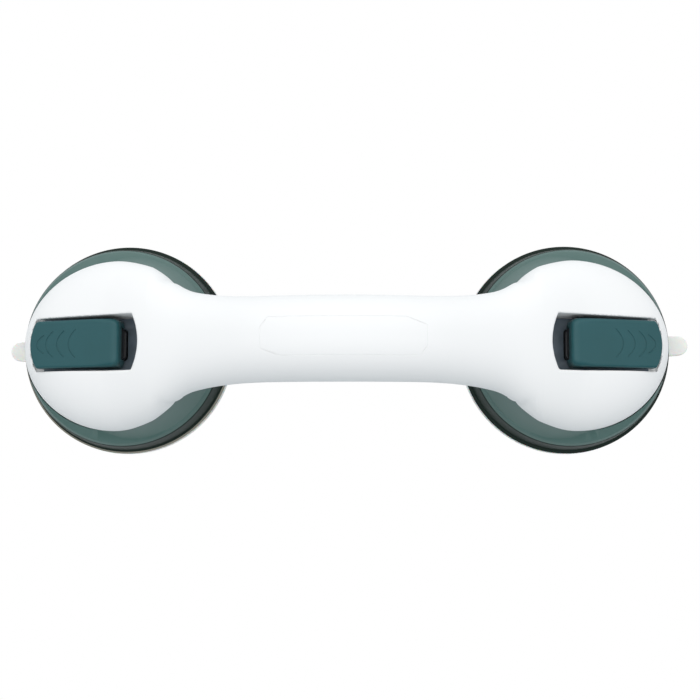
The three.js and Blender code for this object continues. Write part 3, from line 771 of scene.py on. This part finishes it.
def panel_groove():
    """The fine line round the flat panel on top of the grip."""
    plan = fillet(rectangle(PANEL_HALF_LENGTH, PANEL_HALF_WIDTH, PANEL_CORNER), 7)
    shares = np.linspace(0, 1, 12, endpoint=False)[:, None]
    dense = np.concatenate([a + (b - a) * shares for a, b in zip(plan, np.roll(plan, -1, 0))])
    keep = np.r_[True, np.linalg.norm(np.diff(dense, axis=0), axis=1) > 0.2]
    dense = dense[keep]
    # The body's top over each point is found by halving a span of heights that holds it.
    low, high = np.full(len(dense), 55.0), np.full(len(dense), 90.0)
    for _ in range(40):
        middle = (low + high) / 2
        inside = body_field(dense[:, 0], dense[:, 1], middle) < 0
        low, high = np.where(inside, middle, low), np.where(inside, high, middle)
    return wire(np.column_stack([dense, low + GROOVE_LIFT]), PANEL_LINE_RADIUS, 8, closed=True)


# ---------- back cover ----------
def handle_back():
    """The bar's own shape below its widest line, hollowed, with a boss and a sunk seat for each screw."""
    back = surface_net("handle_back_visual", bar_field, (-70, -30, 20), (70, 30, 80), BACK_CELL)
    room_field = lambda x, y, z: bar_field(x, y, z) + WALL
    room = surface_net("room", room_field, (-72, -28, 20), (72, 28, 78), ROOM_CELL)
    for along in BACK_SCREWS:
        combine(room, "DIFFERENCE", rod(5.2, 20, float(widest_line(abs(along))) - 6.5, along, 0))
    end = BACK_END - 2 * GAP
    xs = np.arange(-end, end + 1, 2.0)
    over = np.stack([xs, widest_line(np.abs(xs)) - GAP], -1)
    over[-1, 0] = end
    window = np.concatenate([over, [[end, 0], [-end, 0]]])
    combine(back, "INTERSECT", prism(window, -60, 60, 1))
    combine(back, "DIFFERENCE", room)
    for along in BACK_SCREWS:
        seat = back_screw_seat(along)
        combine(back, "DIFFERENCE", rod(HEAD_HOLE, 10, seat, along, 0), rod(SCREW_HOLE, 10, 80, along, 0))
    smooth(back, 40)
    true_normals(back, bar_field)
    back.data.materials.append(glossy_white_abs)
    return declare(back, "handle", "white_shell", "handle_back")


def back_screw_seat(along):
    """The height that a back screw's head bears on."""
    return float(widest_line(abs(along))) - BAR_DEPTH + BACK_SCREW_SINK


# ---------- cup base ----------
def hood_outline(angles, inset):
    """The hood's lower edge as seen round the cup, drawn in by inset."""
    u = HOOD_SHIFT + (np.where(np.cos(angles) > 0, HOOD_OUT, HOOD_IN) - inset) * np.cos(angles)
    return np.stack([CUP_X + u, (HOOD_HALF_WIDTH - inset) * np.sin(angles), hood_edge(CUP_X + u)], -1)


def collar():
    """The sloping wedge from the round shoulder up to the hood, and its tongue inside the hood."""
    angles = whole_turn(160)
    edge = hood_outline(angles, 0.3)
    share = np.clip((edge[:, 2] - 19.5) / 3, 0, 1)[:, None]
    share = share * share * (3 - 2 * share)

    def round_row(radius, height):
        return np.column_stack([circle(radius, CUP_X, 0, 160), np.full(160, height)])

    def hood_row(inset, lift):
        row = hood_outline(angles, inset)
        row[:, 2] = np.maximum(row[:, 2], 20.2) + lift
        return row

    def upper(inset, lift, low_radius, low_height):
        return share * hood_row(inset, lift) + (1 - share) * round_row(low_radius, low_height)

    shoulder, top = round_row(40.5, 18.9), upper(0.3, -0.3, 38.2, 20.2)
    rows = [round_row(38.8, 16.5)]
    for t in np.linspace(0, 1, 9):
        hollow = 1.1 * math.sin(math.pi * t)
        rows.append(shoulder + (top - shoulder) * t - [0, 0, hollow])
    # The tongue: in under the hood's edge, up inside it, across and down to the deck.
    rows += [upper(2.8, -0.3, 36.5, 20.6), upper(2.9, 3.0, 36.0, 20.9), upper(5.2, 3.0, 34.0, 21.2)]
    inside = hood_row(5.2, 0)
    inside[:, 2] = DECK_TOP - 2
    rows.append(share * inside + (1 - share) * round_row(33.5, 20.0))
    return loft(rows, "collar")


def skirt_room():
    """The band that the hood's skirt takes up, a little larger than the skirt."""
    low, high = (44.0, -39.0, 7.5), (143.0, 39.0, 62.0)

    def level(offset, top):
        def field(x, y, z):
            body = np.maximum(body_field(x, y, z) - offset, BODY_FLOOR - z)
            return np.maximum(np.maximum(body, 45.5 - x), z - top)

        return field

    band = surface_net("band", level(GAP, 60), low, high, SKIRT_CELL)
    inner = surface_net("inner", level(-WALL - GAP, 58), low, high, SKIRT_CELL)
    return combine(band, "DIFFERENCE", below_edge(-GAP), inner)


def base_ring():
    """The green cup: a hub round the shank, a deck, a wall down to the flange, and the collar on top."""
    ring = turned(
        [
            (SHAFT_HOLE, 16, 0), (8.2, 16, 0.4), (8.2, DECK_BOTTOM, 0), (29, DECK_BOTTOM, 1), (39, 16.5, 2),
            (41.4, 6.6, 0), (41.4, 4.2, 0), (FLANGE_RADIUS, 4.2, 0.4), (FLANGE_RADIUS, FLANGE_TOP, 0.5),
            (SHADED_LIP_RADIUS, 6.35, 0), (43.9, 6.6, 0.4), (42.3, 17, 3), (40.9, 19, 0.8), (30, DECK_TOP, 1),
            (SHAFT_HOLE, DECK_TOP, 0),
        ],
        176,
    )
    combine(ring, "UNION", collar())
    combine(ring, "DIFFERENCE", skirt_room())
    for u, across in BASE_SCREWS:
        combine(ring, "DIFFERENCE", rod(SCREW_HOLE, 10, 40, CUP_X + u, across))
    rings = both_cups("{}_base_ring", smooth(ring, 30), satin_green_abs, "handle", "green_base")
    # Painted shade: the ring's wall below the band's top is painted dark green.
    for copy in rings.values():
        paint(copy.data, shaded_green_abs, lambda radius, y, z: radius > SHADE_BAND_RADIUS and z < SHADE_BAND_TOP)
    # Painted shade: the left flange's -Y rim takes the brown-grey of the clear TPR in shade.
    shaded_lip = rings["left"].data
    paint(shaded_lip, shaded_tpr, lambda radius, y, z: radius > SHADED_LIP_RADIUS and z < SHADED_LIP_TOP and y < 0)


def paint(mesh, material, where):
    """Gives a material to the faces picked by their radius from the cup's axis and their y and z."""
    mesh.materials.append(material)
    for face in mesh.polygons:
        middle = face.center / MM
        if where(math.hypot(abs(middle.x) - CUP_X, middle.y), middle.y, middle.z):
            face.material_index = len(mesh.materials) - 1


# ---------- suction pad ----------
def pull_tab(side):
    """A tongue on the pad's rim with a round end."""
    end = TAB_END[side] - TAB_HALF_WIDTH
    arc = np.linspace(-math.pi / 2, math.pi / 2, 17)
    tip = np.stack([end + TAB_HALF_WIDTH * np.cos(arc), TAB_HALF_WIDTH * np.sin(arc)], -1)
    half_root = TAB_HALF_WIDTH + 0.6
    outline = np.concatenate([[[TAB_ROOT, -half_root]], tip, [[TAB_ROOT, half_root]]])
    return bevelled(prism(outline + [CUP_X, 0], 0.6, 2.4, 2), 0.5, 3)


def suction_pads():
    """Each pad is a shallow dish with a socket for the stem's disc, turned to where its tab points."""
    to_cup = Matrix.Translation((CUP_X * MM, 0, 0))
    for side in SIDES:
        pad = turned(
            [
                (0, 3, 0), (12, 2.8, 3), (30, 1.4, 5), (39.5, 0.35, 0.5), (40.5, 0, 0),
                (PAD_RADIUS - 0.8, 0, 0.6), (PAD_RADIUS, 1.2, 0.8), (PAD_RADIUS, 2.6, 0.7),
                (PAD_RADIUS - 1, 3.5, 0.8), (43, 3.8, 1), (34, 4.4, 3), (20, 7, 3), (16, 8.6, 1.2),
                (16, 12, 0.8), (SHAFT_HOLE, 12, 0.3), (SHAFT_HOLE, 9.3, 0), (13.3, 9.3, 0.2),
                (13.3, 4.7, 0.2), (0, 4.7, 0),
            ],
            144,
        )
        combine(pad, "UNION", pull_tab(side))
        turn = Matrix.Rotation(math.radians(TAB_TURN[side]), 4, "Z")
        pad.data.transform(to_cup @ turn @ to_cup.inverted())
        pad.data.materials.clear()
        pad.data.materials.append(clear_white_tpr)
        name = f"{side}_suction_pad"
        piece = declare(place_at(smooth(pad, 35), f"{name}_visual", side), "handle", "rubber", name)
        bpy.data.objects.remove(pad)
        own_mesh(piece)


# ---------- lever and stem ----------
def lever_field(x, y, z):
    """The lever's outside, about the pin: flat top, rounded heel, spiral cam and a bowed tip."""
    u, h = x - CUP_X, z - PIN_Z
    top = (h - LEVER_TOP_RISE + LEVER_SLOPE * u) / math.hypot(1, LEVER_SLOPE)
    side = np.abs(y) - LEVER_HALF_WIDTH
    tip = u - LEVER_TIP + END_BOW * (y / LEVER_HALF_WIDTH) ** 2
    cam = -CAM_LOCKED - UNDER_SLOPE * np.maximum(0, u - RAMP_START) - h
    for angle in np.linspace(0.1, 1, 12) * math.pi / 2:
        reach = CAM_LOCKED - CAM_PER_RADIAN * angle
        cam = np.maximum(cam, -u * math.sin(angle) - h * math.cos(angle) - reach)
    heel = -u - CAM_LOCKED + CAM_PER_RADIAN * math.pi / 2
    profile = soft_max(top, heel, 4.0)
    near_heel = np.clip(1 - (u + 4) / 10, 0, 1)
    upper = soft_max(soft_max(profile, side, 1.3 + 2.2 * near_heel), tip, 0.9)
    return soft_max(upper, cam, 0.5)


def lever():
    """The lever, hollow from below between its two cam ears, with the finger grooves near its tip."""
    low, high = (CUP_X - 8, -11.5, PIN_Z - 13), (CUP_X + 39, 11.5, PIN_Z + 12)
    body = surface_net("lever", lever_field, low, high, LEVER_CELL)
    roof = LEVER_TOP_RISE - LEVER_SKIN - 0.5
    far = LEVER_TIP - 6
    room = [
        (-20, -20), (-20, NECK_HALF + 0.5), (-3.2, NECK_HALF + 0.5), (-1.4, roof), (2, roof),
        (far, LEVER_TOP_RISE - LEVER_SLOPE * far - LEVER_SKIN), (far, -20),
    ]
    combine(body, "DIFFERENCE", prism(np.array(room) + [CUP_X, PIN_Z], -EAR_INNER, EAR_INNER, 1))
    combine(body, "DIFFERENCE", cross_rod(PIN_RADIUS + GAP, 20))
    for apex, width in CHEVRONS:
        y = np.linspace(-width / 2, width / 2, 25)
        u = LEVER_TIP - apex - CHEVRON_SWEEP * (2 * y / width) ** 2
        h = LEVER_TOP_RISE - LEVER_SLOPE * u
        path = np.stack([CUP_X + u, y, PIN_Z + h + GROOVE_LIFT], -1)
        combine(body, "DIFFERENCE", wire(path, CHEVRON_RADIUS, 10))
    smooth(body, 40)
    true_normals(body, lever_field)
    return both_cups("{}_lever", body, lever_green_abs, "{}_lever", "green_lever")


def stem_field(x, y, z):
    """The eye round the pin, the neck under it, the sliding block, the round shank and the pad's disc."""
    u = x - CUP_X
    side = np.abs(y) - STEM_HALF_WIDTH
    eye = np.hypot(u, z - PIN_Z) - EYE_RADIUS
    neck = np.maximum(np.abs(u) - NECK_HALF, np.maximum(z - PIN_Z, BLOCK_TOP - 2 - z))
    top = soft_max(soft_min(eye, neck, 0.8), side, 1.0)
    block = soft_max(np.abs(u) - BLOCK_HALF, side, 1.8)
    block = soft_max(block, np.maximum(z - BLOCK_TOP, BLOCK_BOTTOM - z), 0.5)
    radius = np.hypot(u, y)
    shank = np.maximum(radius - SHANK_RADIUS, np.maximum(z - BLOCK_BOTTOM - 1, DISC_BOTTOM - z))
    disc = soft_max(radius - DISC_RADIUS, np.maximum(z - DISC_TOP, DISC_BOTTOM - z), 0.6)
    return np.minimum(np.minimum(top, block), np.minimum(shank, disc))


def stem():
    """The black stem: the pin goes through its eye, and its disc sits in the pad."""
    low, high = (CUP_X - 14, -14, 5.5), (CUP_X + 14, 14, 44.5)
    body = surface_net("stem", stem_field, low, high, STEM_CELL)
    combine(body, "DIFFERENCE", cross_rod(PIN_RADIUS + 0.05, 20))
    return both_cups("{}_stem", smooth(body, 40), black_acetal, "{}_stem", "black")


def pivot_pin():
    """The steel pin through the lever's ears and the stem's eye."""
    half, radius = 9.5, PIN_RADIUS
    across, along = fillet([(0, -half, 0), (radius, -half, 0.4), (radius, half, 0.4), (0, half, 0)]).T
    rows = [
        np.stack([CUP_X + across * math.cos(angle), along, PIN_Z + across * math.sin(angle)], -1)
        for angle in whole_turn(40)
    ]
    return both_cups("{}_pivot_pin", smooth(loft(rows)), zinc_steel, "{}_stem", "steel")


def wear_plate():
    """The slate sheet that lines the recess's floor, flat under the cams, then bent down the ramp. Its dark
    grey is painted shade on that floor.
    """
    half = RECESS_HALF_WIDTH - GAP
    bow = np.linspace(half, -half, 15)
    inner = RECESS_INNER + GAP + (RECESS_CORNER - RECESS_INNER) * (bow / half) ** 2
    outline = np.concatenate([[[PLATE_END, -half], [PLATE_END, half]], np.stack([inner, bow], -1)])
    plate = prism(outline + [CUP_X, 0], 20, 40, 2)
    top = [[-20, 0], [RAMP_START, 0], [PLATE_END + 5, -RAMP_SLOPE * (PLATE_END + 5 - RAMP_START)]]
    low, high = [np.array(top) + [CUP_X, RECESS_FLOOR + lift] for lift in (GAP, PLATE_THICKNESS)]
    combine(plate, "INTERSECT", prism(np.concatenate([low, high[::-1]]), -30, 30, 1))
    combine(plate, "DIFFERENCE", prism(stem_hole(), 20, 40, 2))
    return both_cups("{}_wear_plate", smooth(bevelled(plate, 0.12, 2)), slate_shade_acetal, "handle", "slate")


def spring_washer():
    """The washer round the shank, in the space that the frame gives it."""
    low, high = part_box("right_spring_washer")
    bottom, top = low.z / MM, high.z / MM
    corners = [(SHAFT_HOLE, bottom), (DISC_RADIUS, bottom), (DISC_RADIUS, top), (SHAFT_HOLE, top)]
    washer = turned([(*corner, 0.2) for corner in corners], 64)
    return both_cups("{}_spring_washer", smooth(washer), zinc_steel, "{}_stem", "steel")


def return_spring():
    """The coil round the shank, in the space that the frame gives it."""
    low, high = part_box("right_return_spring")
    wire_radius, coil_radius, turns = 0.7, 10.6, 3.5
    bottom, top = low.z / MM + wire_radius, high.z / MM - wire_radius
    turn = np.linspace(0, turns, int(turns * 40))
    angle = turn * 2 * math.pi
    height = bottom + (top - bottom) * turn / turns
    path = np.stack([CUP_X + coil_radius * np.cos(angle), coil_radius * np.sin(angle), height], -1)
    return both_cups("{}_return_spring", smooth(wire(path, wire_radius, 12)), zinc_steel, "handle", "steel")


# ---------- screws ----------
def screw_tree():
    """Stands one screw on every point."""
    tree, given = start_tree("screw set", {"Screw": "Object"})
    source = add_node(tree, "GeometryNodeObjectInfo", links={"Object": given["Screw"]})
    links = {"Points": given["Geometry"], "Instance": source.outputs["Geometry"]}
    stood = add_node(tree, "GeometryNodeInstanceOnPoints", links=links)
    return end_tree(tree, stood.outputs["Instances"], given["Material"])


def screw():
    """A pan-head screw standing on its head, with its seat at the origin and a cross recess."""
    profile = [(0, -2.2, 0), (2.6, -2.2, 0.9), (3, -0.1, 0.2), (1.5, -0.1, 0.2), (1.5, 9, 0.3), (0, 11, 0)]
    body = turned(profile, 28, x=0, steps=4)
    for x, y in ((1.8, 0.42), (0.42, 1.8)):
        combine(body, "DIFFERENCE", prism(np.array([(-x, -y), (x, -y), (x, y), (-x, y)]), -3, -1.1, 2))
    return smooth(body)


def screws():
    """All twelve screws as one piece: four up into each hood, then four through the back cover."""
    places = []
    for sign in (-1, 1):
        places += [(sign * (CUP_X + u), sign * across, DECK_BOTTOM - GAP) for u, across in BASE_SCREWS]
    places += [(along, 0, back_screw_seat(along) - GAP) for along in BACK_SCREWS]
    stand = make_object("handle_screws_visual", places, [])
    one = screw()
    use_tree(stand, screw_tree(), Screw=one, Material=zinc_steel)
    bpy.data.objects.remove(one)
    nodes = [f"{side}_base_screw_{i}" for side in SIDES for i in range(1, 5)]
    nodes += [f"back_screw_{i}" for i in range(1, 5)]
    return declare(smooth(stand), "handle", "steel", *nodes)


# ---------- light, floor and camera ----------
def seen_or_lit(tree, seen, lit):
    """One shader as the camera sees it and another as it lights the object."""
    ray = add_node(tree, "ShaderNodeLightPath").outputs["Is Camera Ray"]
    mix = add_node(tree, "ShaderNodeMixShader", links={"Fac": ray})
    tree.links.new(lit, mix.inputs[1])
    tree.links.new(seen, mix.inputs[2])
    return mix.outputs["Shader"]


def stage():
    """A sheet that is pure white to the camera and bounces light as pale paper does."""
    material = bpy.data.materials.new("white sheet")
    tree = empty_tree(material)
    seen = add_node(tree, "ShaderNodeEmission", values={"Color": (1, 1, 1, 1), "Strength": 1.0})
    lit = add_node(tree, "ShaderNodeBsdfDiffuse", values={"Color": linear("#dfe3e4")})
    surface = seen_or_lit(tree, seen.outputs["Emission"], lit.outputs["BSDF"])
    add_node(tree, "ShaderNodeOutputMaterial", links={"Surface": surface})
    reach = FLOOR_REACH
    corners = [(-reach, -reach, 0), (reach, -reach, 0), (reach, reach, 0), (-reach, reach, 0)]
    floor = make_object("floor", corners, [[0, 1, 2, 3]])
    floor.data.materials.append(material)


def softbox(name, place, aim, watts, colour, width=1.4):
    """A long soft light over the bar. Places and sizes are in metres."""
    data = bpy.data.lights.new(name, "AREA")
    data.shape = "RECTANGLE"
    data.size, data.size_y = width, 0.5
    data.energy = watts
    data.color = linear(colour)[:3]
    light = new_object(name, data)
    light.location = place
    light.rotation_euler = (Vector(aim) - Vector(place)).to_track_quat("-Z", "Y").to_euler()


def surroundings():
    """White to the camera; as light, a bright sky leaning to the far side over a dark horizon."""
    world = bpy.data.worlds.new("studio")
    bpy.context.scene.world = world
    tree = empty_tree(world)
    direction = add_node(tree, "ShaderNodeTexCoord").outputs["Generated"]
    height = add_node(
        tree, "ShaderNodeVectorMath", {"operation": "DOT_PRODUCT"}, {1: SKY_AXIS}, {0: direction}
    ).outputs["Value"]
    ramp = add_node(tree, "ShaderNodeValToRGB", links={"Fac": height})
    low, high = ramp.color_ramp.elements
    low.position, low.color = 0.0, linear("#20262a")
    high.position, high.color = 0.62, linear("#ffffff")
    for position, colour in ((0.22, "#7d8990"), (0.42, "#d3dde3")):
        ramp.color_ramp.elements.new(position).color = linear(colour)
    links = {"Color": ramp.outputs["Color"]}
    lit = add_node(tree, "ShaderNodeBackground", values={"Strength": SKY_STRENGTH}, links=links)
    seen = add_node(tree, "ShaderNodeBackground", values={"Color": (1, 1, 1, 1), "Strength": 1.0})
    surface = seen_or_lit(tree, seen.outputs["Background"], lit.outputs["Background"])
    add_node(tree, "ShaderNodeOutputWorld", links={"Surface": surface})


def camera():
    """Looks at the bar from in front, a little from the near side and from the right."""
    data = bpy.data.cameras.new("camera")
    data.sensor_width = 36.0
    data.lens = 61.2
    eye = new_object("camera", data)
    eye.rotation_euler = (math.radians(4.4), math.radians(0.7), 0)
    aim, distance = Vector((0.0016, 0.0003, 0)), 0.5266
    eye.location = aim + eye.rotation_euler.to_matrix() @ Vector((0, 0, distance))
    bpy.context.scene.camera = eye
    # The Standard view keeps the whites clear and the greens unmuted.
    bpy.context.scene.view_settings.view_transform = "Standard"


handle_shell()
handle_back()
base_ring()
suction_pads()
lever()
stem()
pivot_pin()
wear_plate()
spring_washer()
return_spring()
screws()
stage()
surroundings()
softbox("key", (0, 0.75, 0.75), aim=(0, 0, 0.03), watts=1.1, colour="#ffffff", width=1.2)
softbox("fill", (0, -0.8, 0.6), aim=(0, 0, 0.03), watts=0.7, colour="#ecf8ff")
softbox("front", (0, 0.1, 1.2), aim=(0, 0, 0), watts=0.5, colour="#f6fbff")
camera()
